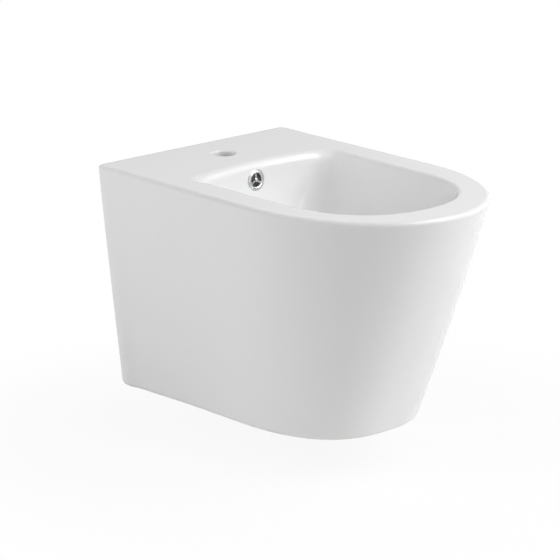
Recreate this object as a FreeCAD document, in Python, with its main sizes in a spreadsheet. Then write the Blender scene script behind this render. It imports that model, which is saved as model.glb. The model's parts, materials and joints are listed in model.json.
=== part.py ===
import FreeCAD, Part
import math
import os
import Sketcher

# A wall-hung bidet of vitreous china with its waste, trap, overflow guard and wall fixings.
# The wall is the plane y = 0, the nose points to -Y and +Z is up. The origin is in the wall
# plane, half way between the two wall studs. All sizes are millimetres and degrees.

os.makedirs("parts", exist_ok=True)
doc = FreeCAD.newDocument("bidet")
sheet = doc.addObject("Spreadsheet::Sheet", "Sizes")

# Driving sizes: name, value, meaning

SIZES = [
    ("body_width", 360, "overall width of the ware"),
    ("body_length", 540, "wall to the tip of the nose"),
    ("body_height", 338, "underside to rim"),
    ("flank_length", 320, "straight part of the rim's sides"),
    ("foot_rear_width", 282, "width of the underside at the wall"),
    ("foot_front_width", 261, "width of the underside where its nose begins"),
    ("foot_flank_length", 223, "straight part of the underside's sides"),
    ("foot_length", 410, "wall to the tip of the underside"),
    ("rim_edge_radius", 5.5, "rounding along the outside of the rim"),
    ("foot_edge_radius", 9, "rounding along the underside"),
    ("rear_corner", 12, "rounding of the rear corners"),
    ("wall_trim", 6, "how much of those corners the wall plane cuts off"),
    ("china_wall", 11, "thickness of the skirt and of the bowl"),
    ("deck_thickness", 16, "thickness of the rim and of the tap deck"),
    ("rear_web", 16, "thickness of the rear wall"),
    ("foot_flange", 12, "thickness of the turned-in flange underneath"),
    ("foot_flange_reach", 34, "reach of that flange from the outside"),
    ("service_width", 124, "width of the opening in the rear wall"),
    ("service_bottom", 30, "lower edge of that opening above the underside"),
    ("service_top", 204, "upper edge of that opening above the underside"),
    ("service_corner", 22, "corner radius of that opening"),
    ("fixing_height", 240, "wall studs above the underside"),
    ("fixing_spacing", 180, "distance between the wall studs"),
    ("fixing_bore", 24, "hole for a stud and its sleeve"),
    ("fixing_pad_width", 58, "diameter of the thickened pad round that hole"),
    ("fixing_pad_depth", 8, "extra thickness of that pad"),
    ("bowl_width", 261, "width of the bowl at its straight sides"),
    ("bowl_setback", 136, "wall to the rear edge of the bowl"),
    ("bowl_rear_bow", 11.5, "how far the bowl's rear edge bows to the wall"),
    ("bowl_corner", 27, "rear corner radius of the bowl at the rim"),
    ("bowl_nose_start", 335, "wall to the start of the bowl's nose"),
    ("bowl_length", 484, "wall to the tip of the bowl"),
    ("bowl_depth", 150, "rim to the bowl's floor"),
    ("side_lip", 4.5, "rounding of the bowl's edge at the sides and nose"),
    ("rear_lip", 14, "rounding of the bowl's edge at the back"),
    ("tap_bore", 35, "hole for the tap"),
    ("tap_setback", 66, "wall to the middle of the tap hole"),
    ("tap_lip", 3.5, "rounding of the tap hole's edge"),
    ("overflow_drop", 27, "rim to the middle of the overflow"),
    ("overflow_bore", 24, "hole for the overflow guard"),
    ("overflow_seat", 0.6, "depth of the flat ground round that hole"),
    ("duct_setback", 98, "wall to the back of the overflow duct"),
    ("duct_width", 46, "outside width of the overflow duct"),
    ("duct_wall", 8, "wall of the overflow duct"),
    ("duct_shoulder", 120, "rim to the duct's bend towards the waste"),
    ("waste_setback", 240, "wall to the middle of the waste"),
    ("waste_bore", 46, "hole for the waste"),
    ("waste_recess_width", 67, "recess for the waste's flange"),
    ("waste_recess_depth", 5, "depth of that recess"),
    ("boss_width", 84, "diameter of the boss under the bowl"),
    ("boss_drop", 42, "bowl floor to the end of that boss"),
    ("chamber_width", 60, "width of the overflow chamber in the boss"),
    ("chamber_top", 17, "bowl floor to the top of that chamber"),
    ("chamber_bottom", 33, "bowl floor to the bottom of that chamber"),
    ("guard_width", 31, "diameter of the overflow guard's ring"),
    ("guard_flange", 1, "thickness of that ring's outer flange"),
    ("guard_bead_width", 27, "diameter of the raised bead inside that flange"),
    ("guard_thickness", 2.6, "thickness of that bead"),
    ("guard_bead_round", 1.4, "rounding of the bead's outer edge"),
    ("guard_mouth_round", 1.8, "rounding of the bead's inner edge"),
    ("guard_opening", 19.5, "clear opening of that ring"),
    ("guard_spigot_depth", 10, "length of the guard's spigot"),
    ("guard_spoke_width", 2.2, "width of a guard spoke"),
    ("guard_spoke_depth", 1.6, "thickness of a guard spoke"),
    ("guard_hub_width", 5.2, "diameter of the guard's hub"),
    ("flange_width", 63, "diameter of the waste's flange"),
    ("flange_thickness", 4, "thickness of that flange"),
    ("thread_width", 41.9, "outside diameter of the waste's thread"),
    ("waste_inner_width", 37, "clear width through the waste"),
    ("waste_mouth_width", 57, "width of the waste's conical mouth"),
    ("waste_mouth_depth", 2.5, "depth of that mouth"),
    ("waste_drop", 76, "bowl floor to the end of the waste"),
    ("window_width", 12, "width of an overflow window in the waste"),
    ("window_height", 13, "height of an overflow window in the waste"),
    ("carrier_thickness", 6, "height of the spider that holds the latch"),
    ("carrier_top", 44, "bowl floor to the top of that spider"),
    ("carrier_arm", 4, "width of an arm of that spider"),
    ("carrier_hub_width", 20, "diameter of that spider's hub"),
    ("seal_thickness", 2, "thickness of the seal under the flange"),
    ("seal_width", 59, "outside diameter of that seal"),
    ("cone_height", 8, "height of the seal under the boss"),
    ("cone_width", 60, "outside diameter of that seal"),
    ("cone_taper", 4, "how much that seal narrows downwards, each side"),
    ("slip_thickness", 2, "thickness of the slip washer"),
    ("slip_width", 60, "outside diameter of the slip washer"),
    ("backnut_flats", 54, "width across the flats of the backnut"),
    ("backnut_thickness", 9, "height of the backnut"),
    ("plug_lift", 8, "travel of the plug"),
    ("cap_width", 62, "diameter of the plug's cap"),
    ("cap_rise", 4.5, "height of the cap"),
    ("cap_edge", 1.6, "height and thickness of the cap's rim"),
    ("cap_shoulder", 2.6, "height at which the cap's crown begins"),
    ("cap_round", 0.8, "rounding under that crown"),
    ("cap_socket_width", 12, "diameter of the socket under the cap"),
    ("cap_socket_depth", 7, "depth of that socket"),
    ("plug_seal_edge", 1.2, "height of the upright edge of the plug's seal"),
    ("plug_seal_top", 53, "diameter of that seal at the top"),
    ("plug_seal_bottom", 47, "diameter of that seal at the bottom"),
    ("plug_seal_inner", 40, "inner diameter of that seal"),
    ("stem_width", 7, "diameter of the plug's stem"),
    ("piston_width", 10.4, "diameter of the stem's foot"),
    ("piston_height", 4, "height of the stem's foot"),
    ("latch_width", 15, "diameter of the latch's housing"),
    ("latch_inner_width", 11, "bore of the latch's housing"),
    ("latch_cap", 2, "thickness of that housing's top and bottom"),
    ("latch_length", 30, "length of that housing"),
    ("spring_wire", 1, "wire of the latch spring"),
    ("pipe_width", 32, "outside diameter of the trap's tube"),
    ("pipe_wall", 1.5, "wall of the trap's tube"),
    ("collar_width", 40, "diameter of the inlet tube's collar"),
    ("collar_thickness", 2, "thickness of that collar"),
    ("washer_thickness", 2, "thickness of the flat washer above that collar"),
    ("union_length", 18, "height of the union nut under the waste"),
    ("union_width", 52, "width across the flats of the union nut"),
    ("union_lip", 3, "thickness of the lip of a trap nut"),
    ("bend_radius", 35, "centre-line radius of the trap's bend"),
    ("bend_drop", 154, "bowl floor to the lowest centre line of the trap"),
    ("socket_drop", 104, "bowl floor to the top of the bend's sockets"),
    ("socket_depth", 14, "depth of a socket on the bend"),
    ("socket_width", 42, "outside diameter of a socket"),
    ("cone_washer_height", 5, "height of a tapered washer in the trap"),
    ("trap_nut_length", 17, "height of a compression nut"),
    ("trap_nut_flats", 50, "width across the flats of a compression nut"),
    ("elbow_radius", 28, "centre-line radius of the outlet elbow"),
    ("elbow_drop", 64, "bowl floor to the centre line of the outlet pipe"),
    ("cleanout_width", 24, "diameter of the boss at the bottom of the trap"),
    ("cleanout_drop", 19, "bend's centre line to the face of that boss"),
    ("cleanout_thread", 17, "thread diameter of the cleanout plug"),
    ("cleanout_flats", 21, "width across the flats of that plug"),
    ("cleanout_head", 4, "height of that plug's head"),
    ("cleanout_seal_height", 1.5, "thickness of that plug's seal"),
    ("stud_bore", 12.5, "clear way for a wall stud"),
    ("sleeve_flange_width", 34, "diameter of a fixing sleeve's flange"),
    ("sleeve_flange", 2, "thickness of that flange"),
    ("steel_washer_width", 37, "outside diameter of a fixing washer"),
    ("steel_washer", 3, "thickness of a fixing washer"),
    ("nut_flats", 19, "width across the flats of a fixing nut"),
    ("nut_thickness", 10, "height of a fixing nut"),
    ("thread_clearance", 0.1, "radial play of what is screwed on a thread"),
    ("slide_clearance", 0.3, "radial play of what slides or is slipped on"),
    ("cut_overrun", 5, "how far a cutting solid runs past what it cuts"),
]

# Shares: parts of a size, or exponents, that have no unit

rim_fullness_share = 2.0
foot_fullness_share = 2.6
swell_share = 0.02
bowl_fullness_share = 2.3
bowl_side_slope_share = 0.30
bowl_rear_slope_share = 0.15
bowl_round_share = 0.45
bowl_curve_share = 2.4
bowl_floor_corner_share = 0.75
bowl_level_shares = (0.12, 0.3, 0.5, 0.68, 0.82, 0.92, 0.98, 1)
upright_share = 0.9

# Numbers of points along each part of an outline, and of outlines in each loft

skirt_rear_steps = 5
skirt_corner_steps = 5
skirt_flank_steps = 9
skirt_nose_steps = 16
skirt_level_steps = 4
bowl_rear_steps = 5
bowl_corner_steps = 6
bowl_flank_steps = 5
bowl_nose_steps = 14
bowl_lip_steps = 6
fine_steps = 8

# How far an edge may lie from where it is looked for

edge_tolerance = 0.05

sheet.set("A1", "meaning")
sheet.set("B1", "value")
for row, (name, value, meaning) in enumerate(SIZES, start=2):
    sheet.set("A%d" % row, meaning)
    sheet.set("B%d" % row, str(value))
    sheet.setAlias("B%d" % row, name)
doc.recompute()


class Size:
    """A length that keeps its number and its spreadsheet expression in step."""

    def __init__(self, value, text):
        self.value = float(value)
        self.text = text

    def join(self, other, sign, value):
        text = other.text if isinstance(other, Size) else repr(float(other))
        return Size(value, "(%s %s %s)" % (self.text, sign, text))

    def __add__(self, other):
        return self.join(other, "+", self.value + float(other))

    def __sub__(self, other):
        return self.join(other, "-", self.value - float(other))

    def __mul__(self, other):
        return self.join(other, "*", self.value * float(other))

    def __truediv__(self, other):
        return self.join(other, "/", self.value / float(other))

    def __neg__(self):
        return Size(-self.value, "(0 - %s)" % self.text)

    def __float__(self):
        return self.value


class Sizes:
    """The sheet's sizes by name."""

    def __getattr__(self, name):
        return Size(float(sheet.get(name)), "Sizes." + name)


size = Sizes()
zero = Size(0, "0")


# Helpers for bodies and sketches


def new_body(label):
    body = doc.addObject("PartDesign::Body", label)
    body.Label = label
    return body


def new_sketch(body, name, role, offset=None):
    sketch = body.newObject("Sketcher::SketchObject", name)
    plane = [f for f in body.Origin.OriginFeatures if f.Role == role][0]
    sketch.AttachmentSupport = [(plane, "")]
    sketch.MapMode = "FlatFace"
    if offset is not None:
        sketch.AttachmentOffset = FreeCAD.Placement(FreeCAD.Vector(0, 0, offset.value), FreeCAD.Rotation())
        sketch.setExpression("AttachmentOffset.Base.z", offset.text)
    return sketch


def pin(sketch, geometry, end, across, up):
    """Dimension one point of a sketch from the sketch's origin."""
    for kind, length in (("DistanceX", across), ("DistanceY", up)):
        index = sketch.addConstraint(Sketcher.Constraint(kind, -1, 1, geometry, end, length.value))
        sketch.setExpression("Constraints[%d]" % index, length.text)


def direction(start, end):
    """1, 0 or -1, the way from one size to another."""
    return (end.value > start.value) - (end.value < start.value)


def turning_points(corners, index):
    """Where the rounding of a corner begins and ends, between two sides that are level or upright."""
    across, up, radius = corners[index]
    points = []
    for beside in (corners[index - 1], corners[(index + 1) % len(corners)]):
        aside = radius * direction(across, beside[0])
        along = radius * direction(up, beside[1])
        points.append((across + aside, up + along))
    return points


def add_arc(sketch, centre, start, end):
    """An arc between two points the short way round, and its end numbers at those points."""
    middle = FreeCAD.Vector(*centre, 0)
    angles = [math.atan2(y - centre[1], x - centre[0]) for x, y in (start, end)]
    ccw = (angles[1] - angles[0]) % (2 * math.pi) < math.pi
    low, high = angles if ccw else reversed(angles)
    circle = Part.Circle(middle, FreeCAD.Vector(0, 0, 1), math.dist(centre, start))
    arc = sketch.addGeometry(Part.ArcOfCircle(circle, low, high))
    return (arc, 1, 2) if ccw else (arc, 2, 1)


def add_polygon(sketch, corners, dome=None):
    """A closed outline through dimensioned corners. A corner with a third size is rounded by it,
    and the side that leaves the corner of the number dome is an arc about the sketch's upright axis."""
    stops = []
    for index, corner in enumerate(corners):
        if len(corner) == 3:
            start, end = turning_points(corners, index)
            stops += [(start, index, "round"), (end, index, "side")]
        else:
            stops.append((corner, index, "side"))
    pieces = []
    for (begin, index, kind), (finish, _, _) in zip(stops, stops[1:] + stops[:1]):
        a, b = [tuple(value.value for value in point) for point in (begin, finish)]
        if kind == "round":
            corner = corners[index]
            centre = (a[0] + b[0] - corner[0].value, a[1] + b[1] - corner[1].value)
            piece = add_arc(sketch, centre, a, b)
            radius = sketch.addConstraint(Sketcher.Constraint("Radius", piece[0], corner[2].value))
            sketch.setExpression("Constraints[%d]" % radius, corner[2].text)
        elif index == dome:
            rise = b[1] - a[1]
            piece = add_arc(sketch, (0, b[1] - (a[0] ** 2 + rise ** 2) / (2 * rise)), a, b)
            sketch.addConstraint(Sketcher.Constraint("PointOnObject", piece[0], 3, -2))
        else:
            line = Part.LineSegment(FreeCAD.Vector(*a, 0), FreeCAD.Vector(*b, 0))
            piece = (sketch.addGeometry(line), 1, 2)
        pieces.append(piece)
    for (point, _, _), piece, following in zip(stops, pieces, pieces[1:] + pieces[:1]):
        sketch.addConstraint(Sketcher.Constraint("Coincident", piece[0], piece[2], following[0], following[1]))
        pin(sketch, piece[0], piece[1], *point)


def add_circle(sketch, radius, across=zero, up=zero):
    centre = FreeCAD.Vector(across.value, up.value, 0)
    circle = sketch.addGeometry(Part.Circle(centre, FreeCAD.Vector(0, 0, 1), radius.value))
    index = sketch.addConstraint(Sketcher.Constraint("Radius", circle, radius.value))
    sketch.setExpression("Constraints[%d]" % index, radius.text)
    pin(sketch, circle, 3, across, up)


def revolve(body, name, points, dome=None):
    """Turn a (radius, height) outline once round the body's Z axis."""
    sketch = new_sketch(body, name + "_outline", "XZ_Plane")
    add_polygon(sketch, points, dome)
    turned = body.newObject("PartDesign::Revolution", name)
    turned.Profile = sketch
    turned.ReferenceAxis = (sketch, ["V_Axis"])
    turned.Angle = 360
    body.Tip = turned
    return turned


def groove(body, name, points):
    """Cut a (radius, height) outline out of the body, once round its Z axis."""
    sketch = new_sketch(body, name + "_outline", "XZ_Plane")
    add_polygon(sketch, points)
    cut = body.newObject("PartDesign::Groove", name)
    cut.Profile = sketch
    cut.ReferenceAxis = (sketch, ["V_Axis"])
    cut.Angle = 360
    body.Tip = cut
    return cut


def pad(body, name, sketch, length):
    solid = body.newObject("PartDesign::Pad", name)
    solid.Profile = sketch
    solid.Length = length.value
    solid.setExpression("Length", length.text)
    body.Tip = solid
    return solid


def place(piece, across, along, up, rotation=None):
    """Put a piece where it belongs, with its height given above the underside."""
    height = up - size.fixing_height
    turned = rotation or FreeCAD.Rotation()
    piece.Placement = FreeCAD.Placement(FreeCAD.Vector(across.value, along.value, height.value), turned)
    piece.setExpression("Placement.Base.x", across.text)
    piece.setExpression("Placement.Base.y", along.text)
    piece.setExpression("Placement.Base.z", height.text)
    return piece


def hexagon(flats):
    """The corners of a hexagon with two sides across the sketch's Y axis."""
    corner = flats / math.sqrt(3)
    points = []
    for index in range(6):
        angle = math.radians(60 * index)
        points.append((corner * math.cos(angle), corner * math.sin(angle)))
    return points


def hex_nut(label, flats, height, bore):
    """A nut from its face upwards, with a chamfered outline at both ends."""
    body = new_body(label)
    sketch = new_sketch(body, "hexagon", "XY_Plane")
    add_polygon(sketch, hexagon(flats))
    add_circle(sketch, bore / 2)
    pad(body, "blank", sketch, height)
    corner = flats / math.sqrt(3)
    edge = corner - flats / 2
    reach = corner + size.cut_overrun
    for name, level, inward in (("lower_chamfer", zero, edge / 2), ("upper_chamfer", height, -edge / 2)):
        beyond = (reach - flats / 2) * (inward.value / edge.value)
        outline = [(flats / 2, level), (reach, level), (reach, level + beyond)]
        groove(body, name, outline)
    return body


waste_place = (zero, -size.waste_setback, size.body_height - size.bowl_depth)


def on_waste(body, drop=zero):
    """Put a piece on the waste's axis, its own zero this far under the bowl's floor."""
    return place(body, waste_place[0], waste_place[1], waste_place[2] - drop)


# The ware


def nose_points(half, start, end, fullness_share, steps):
    """Points of a nose from its side to its tip, as a superellipse."""
    points = []
    for step in range(1, steps + 1):
        angle = math.pi / 2 * step / steps
        across = half * max(math.cos(angle), 0) ** (2 / fullness_share)
        along = start + (end - start) * math.sin(angle) ** (2 / fullness_share)
        points.append((across, along))
    return points


def side_points(rear, front, first, start, steps):
    """Points of a flank that narrows from the wall and meets the nose without a kink."""
    points = []
    for step in range(1, steps + 1):
        along = first + (start - first) * step / steps
        across = front + (rear - front) * (1 - along / start) ** 2
        points.append((across, along))
    return points


def corner_points(across, along, radius, lean, steps):
    """Points of a rounded corner round its centre, from a rear edge that leans by an angle to a flank."""
    points = []
    for step in range(steps + 1):
        angle = lean + (math.pi / 2 - lean) * step / steps
        points.append((across + radius * math.sin(angle), along - radius * math.cos(angle)))
    return points


def skirt_outline(share, inset):
    """Half of the ware's outline at a share of its height, set in by a thickness."""
    mix = share + 4 * swell_share * share * (1 - share)
    s = size

    def blend(low, high):
        return float(low) + (float(high) - float(low)) * mix

    corner = float(s.rear_corner)
    first = corner - float(s.wall_trim)
    rear = blend(s.foot_rear_width / 2, s.body_width / 2) - inset
    front = blend(s.foot_front_width / 2, s.body_width / 2) - inset
    start = blend(s.foot_flank_length, s.flank_length)
    end = blend(s.foot_length, s.body_length) - inset
    fullness_share = foot_fullness_share + (rim_fullness_share - foot_fullness_share) * mix
    flat = rear - corner
    points = [(flat * step / skirt_rear_steps, first - corner) for step in range(skirt_rear_steps)]
    points += corner_points(flat, first, corner, 0, skirt_corner_steps)
    points += side_points(rear, front, first, start, skirt_flank_steps)
    return points + nose_points(front, start, end, fullness_share, skirt_nose_steps)


def running_lengths(half):
    """The length along a closed outline that half of it stands for, up to each point."""
    points = half + [(-a, b) for a, b in reversed(half[:-1])]
    lengths = [0.0]
    for start, end in zip(points, points[1:]):
        lengths.append(lengths[-1] + math.dist(start, end))
    return lengths


def closed_wire(half, height, knots):
    """The smooth closed outline that half an outline stands for, at one height."""
    right = [FreeCAD.Vector(a, -b, height) for a, b in half]
    left = [FreeCAD.Vector(-a, -b, height) for a, b in reversed(half[1:-1])]
    curve = Part.BSplineCurve()
    curve.interpolate(Points=right + left, PeriodicFlag=True, Parameters=knots)
    return Part.Wire([curve.toShape()])


skirt_knots = running_lengths(skirt_outline(1, 0))


def skirt_solid(inset, bottom, top):
    """The ware's outer form between two heights, set in by a thickness."""
    full = float(size.body_height)
    rise = (top - bottom) / skirt_level_steps
    levels = [bottom + rise * step for step in range(skirt_level_steps + 1)]
    wires = [closed_wire(skirt_outline(level / full, inset), level, skirt_knots) for level in levels]
    return Part.makeLoft(wires, True, False)


def box(low, high):
    """A box between two corners."""
    span = [b - a for a, b in zip(low, high)]
    return Part.makeBox(*span, FreeCAD.Vector(*low))


def turned_in_share(slope_share, depth_share):
    """How far a wall of the bowl has moved towards the waste at a share of the bowl's depth."""
    curve = (1 - depth_share ** bowl_curve_share) ** (1 / bowl_curve_share)
    return slope_share + bowl_round_share * (1 - curve)


def bowl_rear(depth_share, grow):
    """The distance from the wall to the bowl's rear, on the centre line. The rear starts upright."""
    rear = float(size.bowl_setback) - grow
    share = turned_in_share(bowl_rear_slope_share * depth_share ** 2, depth_share)
    return rear + (float(size.waste_setback) - rear) * share


def bowl_outline(depth_share, grow, density):
    """Half of the bowl's outline at a share of its depth, from the middle of its rear to its tip."""
    s = size
    inward_share = turned_in_share(bowl_side_slope_share * depth_share, depth_share)
    centre = float(s.waste_setback)
    rim_half = float(s.bowl_width) / 2
    half = (rim_half + grow) * (1 - inward_share)
    rim_corner = float(s.bowl_corner)
    rim_share = (rim_corner + grow) / (rim_half + grow)
    corner = half * (rim_share + (bowl_floor_corner_share - rim_share) * depth_share)
    bow = float(s.bowl_rear_bow)
    radius = ((rim_half - rim_corner) ** 2 + bow ** 2) / (2 * bow)
    middle = bowl_rear(depth_share, grow) + radius
    lean = math.asin((half - corner) / (radius - corner))
    side_start = middle - (radius - corner) * math.cos(lean)
    reach = radius * math.sin(lean)
    rear_steps = bowl_rear_steps * density
    points = []
    for step in range(rear_steps):
        across = reach * step / rear_steps
        points.append((across, middle - math.sqrt(radius ** 2 - across ** 2)))
    points += corner_points(half - corner, side_start, corner, lean, bowl_corner_steps * density)
    nose_start = centre + (float(s.bowl_nose_start) - centre) * (1 - inward_share)
    flank_steps = bowl_flank_steps * density
    for step in range(1, flank_steps + 1):
        points.append((half, side_start + (nose_start - side_start) * step / flank_steps))
    tip = centre + (float(s.bowl_length) + grow - centre) * (1 - inward_share)
    return points + nose_points(half, nose_start, tip, bowl_fullness_share, bowl_nose_steps * density)


def spaced_points(outline, shares):
    """The points of an outline that lie at the given shares of its length."""
    lengths = [0.0]
    for start, end in zip(outline, outline[1:]):
        lengths.append(lengths[-1] + math.dist(start, end))
    points = []
    place_now = 0
    for share in shares:
        wanted = share * lengths[-1]
        while place_now < len(outline) - 2 and lengths[place_now + 1] < wanted:
            place_now += 1
        part = (wanted - lengths[place_now]) / (lengths[place_now + 1] - lengths[place_now])
        pairs = zip(outline[place_now], outline[place_now + 1])
        points.append(tuple(a + (b - a) * part for a, b in pairs))
    return points


bowl_rim = bowl_outline(0, 0, 1)
bowl_knots = running_lengths(bowl_rim)
bowl_length_shares = [length * 2 / bowl_knots[-1] for length in bowl_knots[:len(bowl_rim)]]


def bowl_wire(depth, full_depth, grow, flare_rear, flare_side):
    """The closed outline of the bowl at one depth, flared by the rounding of its lip."""
    half = spaced_points(bowl_outline(max(depth, 0) / full_depth, grow, fine_steps), bowl_length_shares)
    fade_start = half[0][1] + float(size.bowl_rear_bow)
    fade = float(size.bowl_corner) + float(size.bowl_rear_bow)
    moved = []
    for index, (across, along) in enumerate(half):
        before = half[max(index - 1, 0)]
        after = half[min(index + 1, len(half) - 1)]
        if index == 0:
            before = (-after[0], after[1])
        if index == len(half) - 1:
            after = (-before[0], before[1])
        step = (after[0] - before[0], after[1] - before[1])
        length = math.hypot(*step)
        near_rear_share = min(max(1 - (along - fade_start) / fade, 0), 1)
        flare = flare_side + (flare_rear - flare_side) * near_rear_share ** 2 * (3 - 2 * near_rear_share)
        moved.append((across + flare * step[1] / length, along - flare * step[0] / length))
    return closed_wire(moved, float(size.body_height) - depth, bowl_knots)


def bowl_solid(grow):
    """The bowl's hollow, or its outside when it is grown by the wall."""
    s = size
    full_depth = float(s.bowl_depth) + grow
    wires = []
    if grow == 0:
        rear_lip = float(s.rear_lip)
        side_lip = float(s.side_lip)
        wires.append(bowl_wire(-float(s.cut_overrun), full_depth, grow, rear_lip, side_lip))
        for step in range(bowl_lip_steps):
            angle = math.pi / 2 * step / bowl_lip_steps
            depth = rear_lip * (1 - math.cos(angle))
            side_turn = max(1 - depth / side_lip, 0)
            side_flare = side_lip * (1 - math.sqrt(1 - side_turn ** 2))
            rear_flare = rear_lip * (1 - math.sin(angle))
            wires.append(bowl_wire(depth, full_depth, grow, rear_flare, side_flare))
    else:
        wires.append(bowl_wire(0, full_depth, grow, 0, 0))
    for share in bowl_level_shares:
        wires.append(bowl_wire(full_depth * share, full_depth, grow, 0, 0))
    return Part.makeLoft(wires, True, False)


overflow_depth = float(size.overflow_drop)
overflow_step = float(size.guard_width) / 2
overflow_rears = []
for depth in (overflow_depth - overflow_step, overflow_depth, overflow_depth + overflow_step):
    overflow_rears.append(bowl_rear(max(depth, 0) / float(size.bowl_depth), 0))
overflow_along = -overflow_rears[1]
overflow_height = float(size.body_height) - overflow_depth
overflow_tilt = math.degrees(math.atan2(overflow_rears[2] - overflow_rears[0], 2 * overflow_step))
overflow_turn = FreeCAD.Rotation(FreeCAD.Vector(1, 0, 0), 90 - overflow_tilt)
overflow_centre = FreeCAD.Vector(0, overflow_along, overflow_height)
overflow_axis = overflow_turn.multVec(FreeCAD.Vector(0, 0, 1))


def duct(wall):
    """The overflow duct behind the bowl, from the overflow down to the chamber round the waste."""
    s = size
    floor = float(s.body_height - s.bowl_depth)
    rear = -(float(s.duct_setback) + wall)
    top = float(s.body_height - s.deck_thickness) + float(s.duct_wall) - wall
    shoulder = float(s.body_height - s.duct_shoulder)
    low = floor - float(s.chamber_bottom) - float(s.duct_wall) + wall
    high = floor - float(s.chamber_top)
    centre = -float(s.waste_setback)
    foot = centre + float(s.boss_width) / 2 - wall
    outline = [(rear, top), (rear, shoulder), (foot, low), (centre, low), (centre, high), (overflow_along, top)]
    points = [FreeCAD.Vector(wall - float(s.duct_width) / 2, a, b) for a, b in outline]
    face = Part.Face(Part.makePolygon(points + points[:1]))
    return face.extrude(FreeCAD.Vector(float(s.duct_width) - 2 * wall, 0, 0))


def turned_solid(outline):
    """A (radius, height) outline turned round the waste's axis, heights above the underside."""
    centre = FreeCAD.Vector(0, -float(size.waste_setback), 0)
    points = [centre + FreeCAD.Vector(a, 0, b) for a, b in outline]
    face = Part.Face(Part.makePolygon(points + points[:1]))
    return face.revolve(centre, FreeCAD.Vector(0, 0, 1), 360)


def rounded_window(width, bottom, top, corner, depth):
    """A window through the rear wall with rounded corners."""
    half = width / 2
    blank = box((-half, -depth, bottom), (half, depth, top))
    upright = [e for e in blank.Edges if abs(e.tangentAt(e.FirstParameter).y) > upright_share]
    return blank.makeFillet(corner, upright)


def level_edges(shape, height):
    """The edges of a shape that lie flat at one height."""
    found = []
    for edge in shape.Edges:
        bounds = edge.BoundBox
        if max(abs(bounds.ZMin - height), abs(bounds.ZMax - height)) < edge_tolerance:
            found.append(edge)
    return found


def make_ware():
    s = size
    full = float(s.body_height)
    over = float(s.cut_overrun)
    wide = float(s.body_width)
    long = float(s.body_length)
    wall = float(s.china_wall)
    web = float(s.rear_web)
    front = box((-wide, -long - over, -over), (wide, 0, full + over))
    skin = skirt_solid(0, 0, full)
    skin = skin.makeFillet(float(s.rim_edge_radius), level_edges(skin, full))
    skin = skin.makeFillet(float(s.foot_edge_radius), level_edges(skin, 0))
    skin = skin.common(front)

    flange = float(s.foot_flange)
    inside = box((-wide, -long - over, -over), (wide, -web, full + over))
    cavity = skirt_solid(wall, flange, full - float(s.deck_thickness)).common(inside)
    reach = float(s.foot_flange_reach)
    way_out = skirt_solid(reach, -over, flange + over).common(
        box((-wide, -long, -over), (wide, -reach, full)))
    bowl_outside = bowl_solid(wall)
    floor = full - float(s.bowl_depth)
    boss = turned_solid([
        (0, floor), (float(s.boss_width) / 2, floor),
        (float(s.boss_width) / 2, floor - float(s.boss_drop)), (0, floor - float(s.boss_drop))])
    hollow = cavity.fuse(way_out).cut(bowl_outside).cut(boss).cut(duct(0))
    pads = []
    stud_holes = []
    for side in (-1, 1):
        centre = FreeCAD.Vector(side * float(s.fixing_spacing) / 2, 0, float(s.fixing_height))
        inward = FreeCAD.Vector(0, -1, 0)
        depth = web + float(s.fixing_pad_depth)
        pads.append(Part.makeCylinder(float(s.fixing_pad_width) / 2, depth, centre, inward))
        start = centre - inward * over
        stud_holes.append(Part.makeCylinder(float(s.fixing_bore) / 2, depth + 2 * over, start, inward))
    hollow = hollow.cut(pads[0]).cut(pads[1])
    ware = skin.cut(hollow)
    ware = ware.cut(bowl_solid(0))

    passage = duct(float(s.duct_wall)).cut(bowl_outside)
    ware = ware.cut(passage)
    bore = float(s.waste_bore) / 2
    seat = floor - float(s.waste_recess_depth)
    recess = float(s.waste_recess_width) / 2
    chamber = float(s.chamber_width) / 2
    chamber_top = floor - float(s.chamber_top)
    chamber_bottom = floor - float(s.chamber_bottom)
    below = floor - float(s.boss_drop) - over
    ware = ware.cut(turned_solid([
        (0, floor + over), (recess, floor + over), (recess, seat), (bore, seat),
        (bore, chamber_top), (chamber, chamber_top), (chamber, chamber_bottom), (bore, chamber_bottom),
        (bore, below), (0, below)]))
    drill = float(s.overflow_bore) / 2
    back = overflow_centre - overflow_axis * (wall + float(s.duct_wall))
    ware = ware.cut(Part.makeCylinder(drill, wall + float(s.duct_wall) + over, back, overflow_axis))
    spot = overflow_centre - overflow_axis * float(s.overflow_seat)
    spot_radius = float(s.guard_width) / 2 + float(s.slide_clearance)
    ware = ware.cut(Part.makeCylinder(spot_radius, over, spot, overflow_axis))

    deck = full - float(s.deck_thickness)
    tap_foot = FreeCAD.Vector(0, -float(s.tap_setback), deck - over)
    tap_radius = float(s.tap_bore) / 2
    ware = ware.cut(Part.makeCylinder(tap_radius, full - deck + 2 * over, tap_foot))
    for hole in stud_holes:
        ware = ware.cut(hole)
    ware = ware.cut(rounded_window(
        float(s.service_width), float(s.service_bottom), float(s.service_top),
        float(s.service_corner), web + over))
    tap_edge = [
        edge for edge in level_edges(ware, full)
        if abs(edge.BoundBox.XLength - 2 * tap_radius) < edge_tolerance]
    ware = ware.makeFillet(float(s.tap_lip), tap_edge)
    return ware


ware = doc.addObject("Part::Feature", "bidet_body")
ware.Label = "bidet_body"
ware.Shape = make_ware()
place(ware, zero, zero, zero)

# The overflow guard, facing +Z in its own frame

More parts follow.
